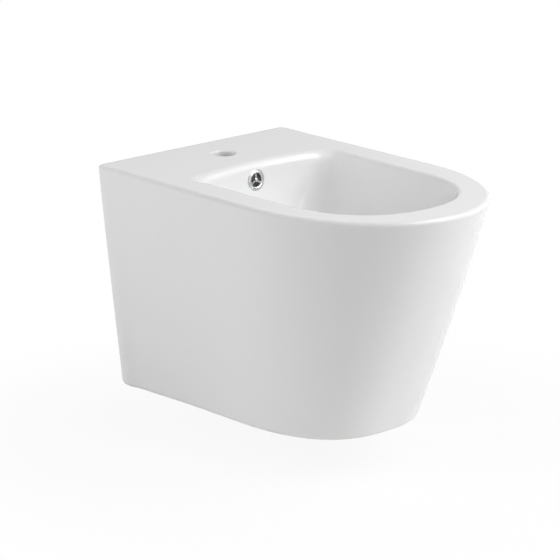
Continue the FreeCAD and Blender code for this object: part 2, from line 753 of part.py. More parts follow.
guard = new_body("overflow_ring")
ring_top = size.guard_thickness
ring_edge = size.guard_width / 2
bead_edge = size.guard_bead_width / 2
ring_opening = size.guard_opening / 2
spigot_edge = size.overflow_bore / 2 - size.slide_clearance
spigot_end = -size.guard_spigot_depth
mouth_low = ring_top - size.guard_mouth_round
revolve(guard, "ring", [
    (ring_opening, spigot_end), (spigot_edge, spigot_end), (spigot_edge, zero), (ring_edge, zero),
    (ring_edge, size.guard_flange, size.guard_flange / 2), (bead_edge, size.guard_flange),
    (bead_edge, ring_top, size.guard_bead_round), (ring_opening, ring_top, size.guard_mouth_round)])
hub_edge = size.guard_hub_width / 2
hub_low = mouth_low - size.guard_spoke_depth
revolve(guard, "hub", [
    (zero, hub_low), (hub_edge, hub_low), (hub_edge, ring_top, size.guard_spoke_depth / 2), (zero, ring_top)])
spoke_sketch = new_sketch(guard, "spoke_outline", "XY_Plane", hub_low)
spoke_half = size.guard_spoke_width / 2
spoke_tip = ring_opening + size.guard_mouth_round
add_polygon(spoke_sketch, [
    (-spoke_half, hub_edge / 2), (spoke_half, hub_edge / 2), (spoke_half, spoke_tip), (-spoke_half, spoke_tip)])
spoke = pad(guard, "spoke", spoke_sketch, size.guard_spoke_depth)
spokes = guard.newObject("PartDesign::PolarPattern", "spokes")
spokes.Originals = [spoke]
spokes.Axis = (spoke_sketch, ["N_Axis"])
spokes.Angle = 360
spokes.Occurrences = 3
guard.Tip = spokes
guard_base = overflow_centre - overflow_axis * float(size.overflow_seat)
guard_base.z -= float(size.fixing_height)
guard.Placement = FreeCAD.Placement(guard_base, overflow_turn)

# The waste: flange, conical mouth, threaded tail, overflow windows and the latch's spider

thread_edge = size.thread_width / 2
flow_edge = size.waste_inner_width / 2
flange_foot = -(size.waste_recess_depth - size.seal_thickness)
flange_top = flange_foot + size.flange_thickness
waste = new_body("waste_body")
revolve(waste, "shell", [
    (flow_edge, -size.waste_drop), (thread_edge, -size.waste_drop), (thread_edge, flange_foot),
    (size.flange_width / 2, flange_foot), (size.flange_width / 2, flange_top),
    (size.waste_mouth_width / 2, flange_top), (flow_edge, flange_top - size.waste_mouth_depth)])
window_sketch = new_sketch(waste, "window_outline", "XZ_Plane")
window_low = -(size.chamber_top + size.chamber_bottom) / 2 - size.window_height / 2
window_high = window_low + size.window_height
window_half = size.window_width / 2
add_polygon(window_sketch, [
    (-window_half, window_low), (window_half, window_low), (window_half, window_high), (-window_half, window_high)])
window = waste.newObject("PartDesign::Pocket", "window")
window.Profile = window_sketch
window.Type = "ThroughAll"
window.Midplane = True
waste.Tip = window
windows = waste.newObject("PartDesign::PolarPattern", "windows")
windows.Originals = [window]
windows.Axis = (window_sketch, ["V_Axis"])
windows.Angle = 360
windows.Occurrences = 4
waste.Tip = windows
carrier_low = -(size.carrier_top + size.carrier_thickness)
carrier_bore = size.latch_width / 2 + size.thread_clearance
carrier_hub = size.carrier_hub_width / 2
revolve(waste, "carrier_hub", [
    (carrier_bore, carrier_low), (carrier_hub, carrier_low), (carrier_hub, -size.carrier_top),
    (carrier_bore, -size.carrier_top)])
arm_sketch = new_sketch(waste, "arm_outline", "XY_Plane", carrier_low)
arm_half = size.carrier_arm / 2
arm_start = (carrier_bore + carrier_hub) / 2
arm_end = (flow_edge + thread_edge) / 2
add_polygon(arm_sketch, [
    (-arm_half, arm_start), (arm_half, arm_start), (arm_half, arm_end), (-arm_half, arm_end)])
arm = pad(waste, "arm", arm_sketch, size.carrier_thickness)
arms = waste.newObject("PartDesign::PolarPattern", "arms")
arms.Originals = [arm]
arms.Axis = (arm_sketch, ["N_Axis"])
arms.Angle = 360
arms.Occurrences = 3
waste.Tip = arms
on_waste(waste)

# Seals, slip washer and backnut that clamp the waste to the ware

flange_seal = new_body("flange_seal")
seal_bore = thread_edge + size.slide_clearance
revolve(flange_seal, "ring", [
    (seal_bore, -size.waste_recess_depth), (size.seal_width / 2, -size.waste_recess_depth),
    (size.seal_width / 2, flange_foot), (seal_bore, flange_foot)])
on_waste(flange_seal)

outlet_seal = new_body("outlet_seal")
cone_foot = -(size.boss_drop + size.cone_height)
cone_foot_edge = size.cone_width / 2 - size.cone_taper
revolve(outlet_seal, "ring", [
    (seal_bore, cone_foot), (cone_foot_edge, cone_foot), (size.cone_width / 2, -size.boss_drop),
    (seal_bore, -size.boss_drop)])
on_waste(outlet_seal)

slip_washer = new_body("slip_washer")
slip_foot = cone_foot - size.slip_thickness
revolve(slip_washer, "ring", [
    (seal_bore, slip_foot), (size.slip_width / 2, slip_foot), (size.slip_width / 2, cone_foot),
    (seal_bore, cone_foot)])
on_waste(slip_washer)

nut_bore = size.thread_width + size.thread_clearance * 2
backnut = hex_nut("waste_backnut", size.backnut_flats, size.backnut_thickness, nut_bore)
on_waste(backnut, -(slip_foot - size.backnut_thickness))

# The plug: cap, seal and stem, drawn open

cap_foot = flange_top + size.slide_clearance + size.plug_lift
cap_inside = cap_foot + size.cap_edge
cap = new_body("plug_cap")
cap_edge = size.cap_width / 2
socket_edge = size.cap_socket_width / 2
socket_foot = cap_inside - size.cap_socket_depth
stem_edge = size.stem_width / 2
stem_top = socket_foot + size.cap_socket_depth
shoulder_edge = cap_edge - size.cap_round
stem_hole = stem_edge + size.thread_clearance
cap_corners = [
    (zero, stem_top), (stem_hole, stem_top), (stem_hole, socket_foot), (socket_edge, socket_foot),
    (socket_edge, cap_inside), (cap_edge - size.cap_edge, cap_inside), (cap_edge - size.cap_edge, cap_foot),
    (cap_edge, cap_foot), (cap_edge, cap_foot + size.cap_shoulder, size.cap_round),
    (shoulder_edge - size.cap_round, cap_foot + size.cap_shoulder), (zero, cap_foot + size.cap_rise)]
revolve(cap, "dome", cap_corners, dome=len(cap_corners) - 2)
on_waste(cap)

plug_seal = new_body("plug_seal")
mouth_slope = size.waste_mouth_depth.value / (size.waste_mouth_width / 2 - flow_edge).value
mouth_drop = (size.waste_mouth_width - size.plug_seal_bottom) / 2 * mouth_slope
plug_seal_foot = cap_foot - mouth_drop
revolve(plug_seal, "ring", [
    (size.plug_seal_inner / 2, plug_seal_foot), (size.plug_seal_bottom / 2, plug_seal_foot),
    (size.plug_seal_top / 2, cap_inside - size.plug_seal_edge), (size.plug_seal_top / 2, cap_inside),
    (size.plug_seal_inner / 2, cap_inside)])
on_waste(plug_seal)

latch_top = -size.carrier_top
latch_foot = latch_top - size.latch_length
stem = new_body("plug_stem")
piston_top = latch_top - size.latch_cap - size.slide_clearance
piston_foot = piston_top - size.piston_height
revolve(stem, "rod", [
    (zero, piston_foot), (size.piston_width / 2, piston_foot), (size.piston_width / 2, piston_top),
    (stem_edge, piston_top), (stem_edge, stem_top), (zero, stem_top)])
on_waste(stem)

latch = new_body("latch_housing")
latch_edge = size.latch_width / 2
latch_bore = size.latch_inner_width / 2
stem_way = stem_edge + size.slide_clearance
revolve(latch, "tube", [
    (zero, latch_foot), (latch_edge, latch_foot), (latch_edge, latch_top), (stem_way, latch_top),
    (stem_way, latch_top - size.latch_cap), (latch_bore, latch_top - size.latch_cap),
    (latch_bore, latch_foot + size.latch_cap), (zero, latch_foot + size.latch_cap)])
on_waste(latch)

spring = new_body("latch_spring")
spring_foot = latch_foot + size.latch_cap
spring_edge = latch_bore - size.slide_clearance
revolve(spring, "sleeve", [
    (spring_edge - size.spring_wire, spring_foot), (spring_edge, spring_foot),
    (spring_edge, piston_foot), (spring_edge - size.spring_wire, piston_foot)])
on_waste(spring)

# The trap's inlet: flat washer, collared tube and union nut

pipe_edge = size.pipe_width / 2
pipe_bore = pipe_edge - size.pipe_wall
tail = -size.waste_drop
washer_foot = tail - size.washer_thickness
inlet_washer = new_body("inlet_washer")
revolve(inlet_washer, "ring", [
    (pipe_edge, washer_foot), (size.collar_width / 2, washer_foot), (size.collar_width / 2, tail),
    (pipe_edge, tail)])
on_waste(inlet_washer)

collar_foot = washer_foot - size.collar_thickness
inlet_tube = new_body("inlet_tube")
tube_foot = -(size.socket_drop + size.socket_depth)
revolve(inlet_tube, "tube", [
    (pipe_bore, tube_foot), (pipe_edge, tube_foot), (pipe_edge, collar_foot),
    (size.collar_width / 2, collar_foot), (size.collar_width / 2, washer_foot), (pipe_bore, washer_foot)])
on_waste(inlet_tube)


def cap_nut(label, flats, length, bore, way, lip):
    """A nut open below or above with a lip that holds a collar or a washer; its lip is at its own zero."""
    body = hex_nut(label, flats, length, way)
    groove(body, "thread_bore", [
        (way / 4, lip), (bore / 2, lip), (bore / 2, length + size.cut_overrun),
        (way / 4, length + size.cut_overrun)])
    return body


tube_way = size.pipe_width + size.slide_clearance * 2
union = cap_nut("inlet_nut", size.union_width, size.union_length, nut_bore, tube_way, size.union_lip)
on_waste(union, -(collar_foot - size.union_lip))

# The bend: a U of tube with a socket on each leg and a cleanout boss at the bottom

bend = new_body("trap_bend")
leg = size.bend_drop - size.bend_radius - size.socket_drop
span = size.bend_radius * 2
section = new_sketch(bend, "tube_section", "XY_Plane")
add_circle(section, pipe_edge)
bore_section = new_sketch(bend, "bore_section", "XY_Plane")
add_circle(bore_section, pipe_bore)
path = new_sketch(bend, "centre_line", "YZ_Plane")
down = path.addGeometry(Part.LineSegment(FreeCAD.Vector(0, 0, 0), FreeCAD.Vector(0, -leg.value, 0)))
round_centre = FreeCAD.Vector(size.bend_radius.value, -leg.value, 0)
round_circle = Part.Circle(round_centre, FreeCAD.Vector(0, 0, 1), size.bend_radius.value)
turn = path.addGeometry(Part.ArcOfCircle(round_circle, math.pi, 2 * math.pi))
up_leg = path.addGeometry(Part.LineSegment(
    FreeCAD.Vector(span.value, -leg.value, 0), FreeCAD.Vector(span.value, 0, 0)))
path.addConstraint(Sketcher.Constraint("Coincident", down, 2, turn, 1))
path.addConstraint(Sketcher.Constraint("Coincident", turn, 2, up_leg, 1))
pin(path, down, 1, zero, zero)
pin(path, down, 2, zero, -leg)
pin(path, turn, 3, size.bend_radius, -leg)
pin(path, up_leg, 2, span, zero)
pipe = bend.newObject("PartDesign::AdditivePipe", "tube")
pipe.Profile = section
pipe.Spine = (path, ["Edge1", "Edge2", "Edge3"])
bend.Tip = pipe
socket_edge_width = size.socket_width / 2
socket_bore = pipe_edge + size.slide_clearance


for name, along in (("inlet_socket", zero), ("outlet_socket", span)):
    socket = new_sketch(bend, name + "_section", "XY_Plane", -(size.socket_depth + size.pipe_wall))
    add_circle(socket, socket_edge_width, zero, along)
    pad(bend, name, socket, size.socket_depth + size.pipe_wall)
boss_face = -(leg + size.bend_radius + size.cleanout_drop)
boss_sketch = new_sketch(bend, "cleanout_boss_outline", "XY_Plane", boss_face)
add_circle(boss_sketch, size.cleanout_width / 2, zero, size.bend_radius)
pad(bend, "cleanout_boss", boss_sketch, size.cleanout_drop - pipe_bore)
bore = bend.newObject("PartDesign::SubtractivePipe", "bore")
bore.Profile = bore_section
bore.Spine = (path, ["Edge1", "Edge2", "Edge3"])
bend.Tip = bore
for name, along in (("inlet_mouth", zero), ("outlet_mouth", span)):
    mouth = new_sketch(bend, name + "_section", "XY_Plane")
    add_circle(mouth, socket_bore, zero, along)
    cut = bend.newObject("PartDesign::Pocket", name)
    cut.Profile = mouth
    cut.Length = size.socket_depth.value
    cut.setExpression("Length", size.socket_depth.text)
    bend.Tip = cut
hole_sketch = new_sketch(bend, "cleanout_hole_outline", "XY_Plane", boss_face)
cleanout_bore = size.cleanout_thread / 2 + size.thread_clearance
add_circle(hole_sketch, cleanout_bore, zero, size.bend_radius)
hole = bend.newObject("PartDesign::Pocket", "cleanout_hole")
hole.Profile = hole_sketch
hole.Reversed = True
hole.Length = size.cleanout_drop.value
hole.setExpression("Length", size.cleanout_drop.text)
bend.Tip = hole
on_waste(bend, size.socket_drop)

# Tapered washers and compression nuts over the bend's sockets


def on_outlet(body, drop):
    """Put a piece on the trap's outlet leg."""
    return place(body, zero, -size.waste_setback + span, waste_place[2] - drop)


for name, put in (("bend_inlet", on_waste), ("bend_outlet", on_outlet)):
    washer = new_body(name + "_washer")
    revolve(washer, "ring", [
        (pipe_edge, zero), (socket_bore + size.pipe_wall, zero),
        (socket_edge_width, size.cone_washer_height / 2), (socket_edge_width, size.cone_washer_height),
        (pipe_edge, size.cone_washer_height)])
    put(washer, size.socket_drop)
    nut = cap_nut(
        name + "_nut", size.trap_nut_flats, size.trap_nut_length,
        size.socket_width + size.thread_clearance * 2, tube_way, size.union_lip)
    put(nut, size.socket_drop - size.cone_washer_height - size.union_lip)
    nut.Placement.Rotation = FreeCAD.Rotation(FreeCAD.Vector(1, 0, 0), 180)

# The outlet: a leg, an elbow and the pipe to the wall

elbow = new_body("outlet_pipe")
rise = size.socket_drop + size.socket_depth - size.elbow_drop - size.elbow_radius
reach = size.waste_setback - span
outlet_section = new_sketch(elbow, "tube_section", "XY_Plane")
add_circle(outlet_section, pipe_edge)
add_circle(outlet_section, pipe_bore)
outlet_path = new_sketch(elbow, "centre_line", "YZ_Plane")
start = outlet_path.addGeometry(Part.LineSegment(FreeCAD.Vector(0, 0, 0), FreeCAD.Vector(0, rise.value, 0)))
elbow_centre = FreeCAD.Vector(size.elbow_radius.value, rise.value, 0)
elbow_circle = Part.Circle(elbow_centre, FreeCAD.Vector(0, 0, 1), size.elbow_radius.value)
corner_arc = outlet_path.addGeometry(Part.ArcOfCircle(elbow_circle, math.pi / 2, math.pi))
top = rise + size.elbow_radius
run = outlet_path.addGeometry(Part.LineSegment(
    FreeCAD.Vector(size.elbow_radius.value, top.value, 0), FreeCAD.Vector(reach.value, top.value, 0)))
outlet_path.addConstraint(Sketcher.Constraint("Coincident", start, 2, corner_arc, 2))
outlet_path.addConstraint(Sketcher.Constraint("Coincident", corner_arc, 1, run, 1))
pin(outlet_path, start, 1, zero, zero)
pin(outlet_path, start, 2, zero, rise)
pin(outlet_path, corner_arc, 3, size.elbow_radius, rise)
pin(outlet_path, run, 2, reach, top)
outlet = elbow.newObject("PartDesign::AdditivePipe", "tube")
outlet.Profile = outlet_section
outlet.Spine = (outlet_path, ["Edge1", "Edge2", "Edge3"])
elbow.Tip = outlet
on_outlet(elbow, size.socket_drop + size.socket_depth)

# The cleanout plug and its seal, under the bend

cleanout_seal = new_body("cleanout_seal")
revolve(cleanout_seal, "ring", [
    (cleanout_bore, -size.cleanout_seal_height), (size.cleanout_flats / 2, -size.cleanout_seal_height),
    (size.cleanout_flats / 2, zero), (cleanout_bore, zero)])
cleanout_plug = new_body("cleanout_plug")
head_sketch = new_sketch(
    cleanout_plug, "head_outline", "XY_Plane", -(size.cleanout_seal_height + size.cleanout_head))
add_polygon(head_sketch, hexagon(size.cleanout_flats))
pad(cleanout_plug, "head", head_sketch, size.cleanout_head)
shank_sketch = new_sketch(cleanout_plug, "shank_outline", "XY_Plane", -size.cleanout_seal_height)
add_circle(shank_sketch, size.cleanout_thread / 2)
shank = size.cleanout_drop - pipe_edge + size.cleanout_seal_height
pad(cleanout_plug, "shank", shank_sketch, shank)
cleanout_level = waste_place[2] - size.bend_drop - size.cleanout_drop
for piece in (cleanout_seal, cleanout_plug):
    place(piece, zero, -size.waste_setback + size.bend_radius, cleanout_level)

# Sleeves, washers and nuts on the two wall studs, each pair in one piece list

seat_depth = size.rear_web + size.fixing_pad_depth
stud_way = size.stud_bore / 2
facing_in = FreeCAD.Rotation(FreeCAD.Vector(1, 0, 0), 90)


def stud_pair(label, master, level):
    """Two copies of a piece, one on each stud at a distance from the wall, as one node."""
    copies = []
    for side, word in ((-1, "left"), (1, "right")):
        copy = doc.addObject("Part::Feature", label + "_" + word)
        copy.Shape = master.Shape.copy()
        across = size.fixing_spacing / 2 * side
        place(copy, across, -level, size.fixing_height, facing_in)
        copies.append(copy)
    pair = doc.addObject("Part::Compound", label)
    pair.Label = label
    pair.Links = copies
    return pair


sleeve = new_body("sleeve_master")
sleeve_edge = size.fixing_bore / 2 - size.slide_clearance
revolve(sleeve, "sleeve", [
    (stud_way, zero), (sleeve_edge, zero), (sleeve_edge, seat_depth),
    (size.sleeve_flange_width / 2, seat_depth), (size.sleeve_flange_width / 2, seat_depth + size.sleeve_flange),
    (stud_way, seat_depth + size.sleeve_flange)])
fixing_washer = new_body("washer_master")
steel_edge = size.steel_washer_width / 2
revolve(fixing_washer, "ring", [
    (stud_way, zero), (steel_edge, zero), (steel_edge, size.steel_washer), (stud_way, size.steel_washer)])
fixing_nut = hex_nut("nut_master", size.nut_flats, size.nut_thickness, size.stud_bore)
doc.recompute()
washer_level = seat_depth + size.sleeve_flange
sleeves = stud_pair("fixing_sleeves", sleeve, zero)
washers = stud_pair("fixing_washers", fixing_washer, washer_level)
nuts = stud_pair("fixing_nuts", fixing_nut, washer_level + size.steel_washer)

NODES = [
    ware, guard, waste, flange_seal, outlet_seal, slip_washer, backnut, cap, plug_seal, stem, latch,
    spring, inlet_washer, inlet_tube, union, bend, elbow, cleanout_seal, cleanout_plug, sleeves, washers, nuts,
]
for name in ("bend_inlet_washer", "bend_inlet_nut", "bend_outlet_washer", "bend_outlet_nut"):
    NODES.append(doc.getObjectsByLabel(name)[0])

doc.recompute()
for item in doc.Objects:
    if "Invalid" in item.State or "Error" in item.State:
        raise RuntimeError("%s did not build: %s" % (item.Label, item.State))
for node in NODES:
    if node.Shape.isNull() or not node.Shape.isValid():
        raise RuntimeError("%s has no sound shape" % node.Label)
for node in NODES:
    node.Shape.exportStep(os.path.join("parts", node.Label + ".step"))
    bounds = node.Shape.BoundBox
    print("%-20s %10.1f mm3  x %.1f..%.1f  y %.1f..%.1f  z %.1f..%.1f  solids %d" % (
        node.Label, node.Shape.Volume, bounds.XMin, bounds.XMax, bounds.YMin, bounds.YMax,
        bounds.ZMin, bounds.ZMax, len(node.Shape.Solids)))
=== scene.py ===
# %% [markdown]
# # A wall-hung bidet of glazed china
# The sanitary ware is one casting of vitreous china: a D-shaped bowl, a flat rim, a tap deck
# with an empty 35 mm hole, and a skirt that narrows to the underside. Behind it hide the
# waste, the trap and the wall fixings. The solids come from the frame at their real size.
# This lesson gives them their finishes, light and a camera, and adds what solids leave plain.

import bpy
import json
import math
from mathutils import Matrix, Vector


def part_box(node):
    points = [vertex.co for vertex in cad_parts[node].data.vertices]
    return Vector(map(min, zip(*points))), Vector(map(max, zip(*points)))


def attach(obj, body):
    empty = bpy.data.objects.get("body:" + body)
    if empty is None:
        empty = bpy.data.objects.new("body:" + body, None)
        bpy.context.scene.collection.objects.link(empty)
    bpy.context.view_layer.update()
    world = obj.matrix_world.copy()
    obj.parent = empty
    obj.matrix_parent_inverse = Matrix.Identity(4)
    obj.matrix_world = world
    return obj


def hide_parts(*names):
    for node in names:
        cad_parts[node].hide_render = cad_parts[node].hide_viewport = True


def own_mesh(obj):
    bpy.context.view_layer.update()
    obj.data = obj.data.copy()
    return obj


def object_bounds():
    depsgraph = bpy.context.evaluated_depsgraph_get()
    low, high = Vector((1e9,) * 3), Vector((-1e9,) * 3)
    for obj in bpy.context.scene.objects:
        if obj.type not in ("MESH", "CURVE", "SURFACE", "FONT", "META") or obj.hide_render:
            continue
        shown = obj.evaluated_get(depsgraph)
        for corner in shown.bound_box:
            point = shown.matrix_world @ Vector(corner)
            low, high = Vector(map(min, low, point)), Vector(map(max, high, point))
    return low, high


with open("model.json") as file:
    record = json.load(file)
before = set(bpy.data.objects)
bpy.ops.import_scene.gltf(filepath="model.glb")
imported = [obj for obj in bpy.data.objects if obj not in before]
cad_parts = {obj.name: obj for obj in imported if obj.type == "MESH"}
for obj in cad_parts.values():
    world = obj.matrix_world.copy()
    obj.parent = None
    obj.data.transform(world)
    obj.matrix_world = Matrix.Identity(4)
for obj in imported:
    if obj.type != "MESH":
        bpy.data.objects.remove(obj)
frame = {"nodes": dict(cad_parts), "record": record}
cad_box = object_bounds()
print("box of the solids:", cad_box)

# %% [markdown]
# Sizes are written in millimetres, as on the drawing, and turned to Blender's metres in one
# place. Colours are written as sRGB hex values, which is how a paint or glaze is usually
# quoted, and one function turns them to the linear values that a shader needs. Its numbers
# are those of the sRGB standard.

# %% Units and colours
MM = 0.001


def linear(hex_colour):
    """An sRGB hex colour as linear red, green, blue and alpha."""
    channels = []
    for start in (1, 3, 5):
        value = int(hex_colour[start:start + 2], 16) / 255
        low = value / 12.92
        high = ((value + 0.055) / 1.055) ** 2.4
        channels.append(low if value <= 0.04045 else high)
    return (*channels, 1.0)


WHITE = "#FFFFFF"
GLAZE_WHITE = "#F0F0F0"
print("the glaze's white is", [round(value, 3) for value in linear(GLAZE_WHITE)])

# %% [markdown]
# The photograph was taken with a long lens, so the sides of the ware stay almost parallel.
# The camera could be moved about by hand until the outlines agree. Here it is described the
# way a photographer would, which is easier to correct: the point it is aimed at, the
# direction it looks from, its distance and its lens. An azimuth of 0 looks straight at the
# nose, and a negative one stands to the left of it.

# %% Camera
AZIMUTH = -42.37
ELEVATION = 16.25
DISTANCE = 3965 * MM
LENS = 180
SENSOR = 36
CLIP_END = 30000 * MM
AIM = Vector((-29.8, -220.5, -54.3)) * MM


def look_from(azimuth, elevation):
    """Right, up and backward directions of a view from an azimuth and an elevation in degrees."""
    turn = math.radians(azimuth)
    tilt = math.radians(elevation)
    level = math.cos(tilt)
    back = Vector((math.sin(turn) * level, -math.cos(turn) * level, math.sin(tilt)))
    right = Vector((math.cos(turn), math.sin(turn), 0))
    return right, back.cross(right), back


def stand(thing, azimuth, elevation, distance):
    """Put a camera or a lamp at a distance from the aim, looking at it from a direction."""
    right, up, back = look_from(azimuth, elevation)
    turned = Matrix((right, up, back)).transposed().to_4x4()
    thing.matrix_world = Matrix.Translation(AIM + back * distance) @ turned
    bpy.context.scene.collection.objects.link(thing)


camera_data = bpy.data.cameras.new("photo_lens")
camera_data.lens = LENS
camera_data.sensor_width = SENSOR
camera_data.clip_end = CLIP_END
camera = bpy.data.objects.new("photo_camera", camera_data)
stand(camera, AZIMUTH, ELEVATION, DISTANCE)
bpy.context.scene.camera = camera
bpy.context.scene.view_settings.view_transform = "Standard"
print("camera stands at", [round(value, 3) for value in camera.matrix_world.translation])

# %% [markdown]
# Each material below is a small tree of nodes. One helper adds a node, gives it its settings
# and links its inputs, so that a tree reads as a list of what feeds what. A Mix node keeps a
# set of sockets for each kind of data under the same names, so those for colours are picked
# by their numbers.

# %% Helpers for node trees
COLOUR_A = 6
COLOUR_B = 7
MIXED_COLOUR = 2


def add_node(tree, kind, settings=None, inputs=None):
    """Add one node. An input is a value, a socket, or a node that stands for its first output."""
    node = tree.nodes.new(kind)
    for name, value in (settings or {}).items():
        setattr(node, name, value)
    for name, value in (inputs or {}).items():
        source = value.outputs[0] if isinstance(value, bpy.types.Node) else value
        if isinstance(source, bpy.types.NodeSocket):
            tree.links.new(source, node.inputs[name])
        else:
            node.inputs[name].default_value = source
    return node


def new_material(name):
    """An empty material and its tree."""
    material = bpy.data.materials.new(name)
    material.use_nodes = True
    material.node_tree.nodes.clear()
    return material, material.node_tree


print("colour sockets of a Mix node:", COLOUR_A, COLOUR_B, "to", MIXED_COLOUR)

# %% [markdown]
# The floor is pale and plain, 64 mm under the ware, which puts the rim at the usual 400 mm.
# It could be lit until it is white, but that light would spill on to the ware and wash out
# its form. So to the camera the floor glows white by itself, as paper does that has lamps of
# its own. Under the ware a part of its own shading is left, so that it keeps the soft shadow.

# %% Floor
FLOOR_DROP = 64 * MM
FLOOR_REACH = 6000 * MM
FLOOR_PAINT = "#F7F7F7"
SHADOW_CENTRE = Vector((0, -240, 0)) * MM
SHADOW_START = 250 * MM
SHADOW_END = 700 * MM
SHADOW_SHARE = 0.08


def seen_directly(tree):
    """1 for what the camera sees directly, in a mirror or through glass, and 0 for plain light."""
    path = add_node(tree, "ShaderNodeLightPath")
    shown = add_node(tree, "ShaderNodeMath", {"operation": "MAXIMUM"}, {
        0: path.outputs["Is Camera Ray"], 1: path.outputs["Is Glossy Ray"]})
    return add_node(tree, "ShaderNodeMath", {"operation": "MAXIMUM"}, {
        0: shown, 1: path.outputs["Is Transmission Ray"]})


def make_paper(level):
    """The floor's finish: its own glow, with some of its own shading near the ware."""
    material, tree = new_material("white_paper_floor")
    paint = add_node(tree, "ShaderNodeBsdfDiffuse", inputs={"Color": linear(FLOOR_PAINT)})
    glow = add_node(tree, "ShaderNodeEmission", inputs={"Color": linear(WHITE), "Strength": 1.0})
    place = add_node(tree, "ShaderNodeTexCoord")
    away = add_node(tree, "ShaderNodeVectorMath", {"operation": "DISTANCE"}, {
        0: place.outputs["Object"], 1: SHADOW_CENTRE + Vector((0, 0, level))})
    glowing = add_node(tree, "ShaderNodeMapRange", {"interpolation_type": "SMOOTHSTEP"}, {
        "Value": away.outputs["Value"], "From Min": SHADOW_START, "From Max": SHADOW_END,
        "To Min": 1 - SHADOW_SHARE, "To Max": 1.0})
    share = add_node(tree, "ShaderNodeMath", {"operation": "MULTIPLY"}, {
        0: seen_directly(tree), 1: glowing})
    mix = add_node(tree, "ShaderNodeMixShader", inputs={0: share, 1: paint, 2: glow})
    add_node(tree, "ShaderNodeOutputMaterial", inputs={"Surface": mix})
    return material


def make_floor(level):
    """A flat square round the origin."""
    corners = [(x * FLOOR_REACH, y * FLOOR_REACH, level)
               for x, y in ((-1, -1), (1, -1), (1, 1), (-1, 1))]
    mesh = bpy.data.meshes.new("floor")
    mesh.from_pydata(corners, [], [(0, 1, 2, 3)])
    mesh.materials.append(make_paper(level))
    floor = bpy.data.objects.new("floor", mesh)
    bpy.context.scene.collection.objects.link(floor)
    return floor


floor = make_floor(cad_box[0][2] - FLOOR_DROP)
print("the floor lies at", round(floor.data.vertices[0].co.z, 3), "m")

# %% [markdown]
# The world is the empty room round the ware. It is white to the camera and in mirror images,
# so that the chrome has a bright room to show. As a light it is almost nothing, because light
# from all sides would take away the soft steps of grey that show a white form.

# %% World
ROOM_LIGHT = 0.01


def make_world():
    """A room that looks white and hardly lights."""
    world = bpy.data.worlds.new("studio")
    world.use_nodes = True
    tree = world.node_tree
    tree.nodes.clear()
    soft = add_node(tree, "ShaderNodeBackground", inputs={
        "Color": linear(WHITE), "Strength": ROOM_LIGHT})
    white = add_node(tree, "ShaderNodeBackground", inputs={"Color": linear(WHITE), "Strength": 1.0})
    mix = add_node(tree, "ShaderNodeMixShader", inputs={0: seen_directly(tree), 1: soft, 2: white})
    add_node(tree, "ShaderNodeOutputWorld", inputs={"Surface": mix})
    bpy.context.scene.world = world
    return world


print("world:", make_world().name)

# %% [markdown]
# The ware is white on white, so its form shows only in soft steps of grey. Two high boxes stand
# to the right of the nose, and one on the left keeps the long left flank from going dull. The
# darkest line on the skirt lies where the light of the two sides is weakest. Each box is 2 m
# wide, because a glaze mirrors its lamps and a small one would leave a hard bright spot on the
# rim. The left one isn't mirrored at all: the hollow corner of the bowl would draw it out to a
# bright upright line, which a photographer takes away with a polarising filter. Their power
# is in watts.

# %% Lamps
LAMP_DISTANCE = 2600 * MM
LAMP_WIDTH = 2000 * MM


def soft_box(name, azimuth, elevation, power):
    """A square soft box that looks at the ware from a direction."""
    data = bpy.data.lights.new(name, "AREA")
    data.shape = "SQUARE"
    data.size = LAMP_WIDTH
    data.energy = power
    lamp = bpy.data.objects.new(name, data)
    stand(lamp, azimuth, elevation, LAMP_DISTANCE)
    return lamp


soft_box("nose_high_soft_box", azimuth=20, elevation=40, power=43)
soft_box("right_high_soft_box", azimuth=50, elevation=40, power=26)
left_lamp = soft_box("left_soft_box", azimuth=-115, elevation=25, power=38)
left_lamp.visible_glossy = False

# %% [markdown]
# Vitreous china is a dense white clay body under a sprayed glaze that melts to a glass skin
# about half a millimetre thick. The glaze is left off where the ware stands in the kiln and
# where it will meet the wall, and there the biscuit shows, creamier and matt. Faces that look
# down get only the mist of the spray gun. The faces could be sorted by hand into a glazed and a
# bare material. Here one material reads its place on the ware instead, because the glaze
# doesn't end at an edge of the casting but a millimetre or two short of it, in a ragged line.

# %% Where the glaze ends
LINE_RAGGED = 3 * MM
LINE_GRAIN = 9 * MM
REAR_LINE = (-2.2 * MM, -1.6 * MM)
FOOT_LINE = (1.4 * MM, 1.0 * MM)
FOOT_RAGGED_SHARE = 0.3
MISTED_SLOPE = (-0.55, -0.75)
foot_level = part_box("bidet_body")[0][2]


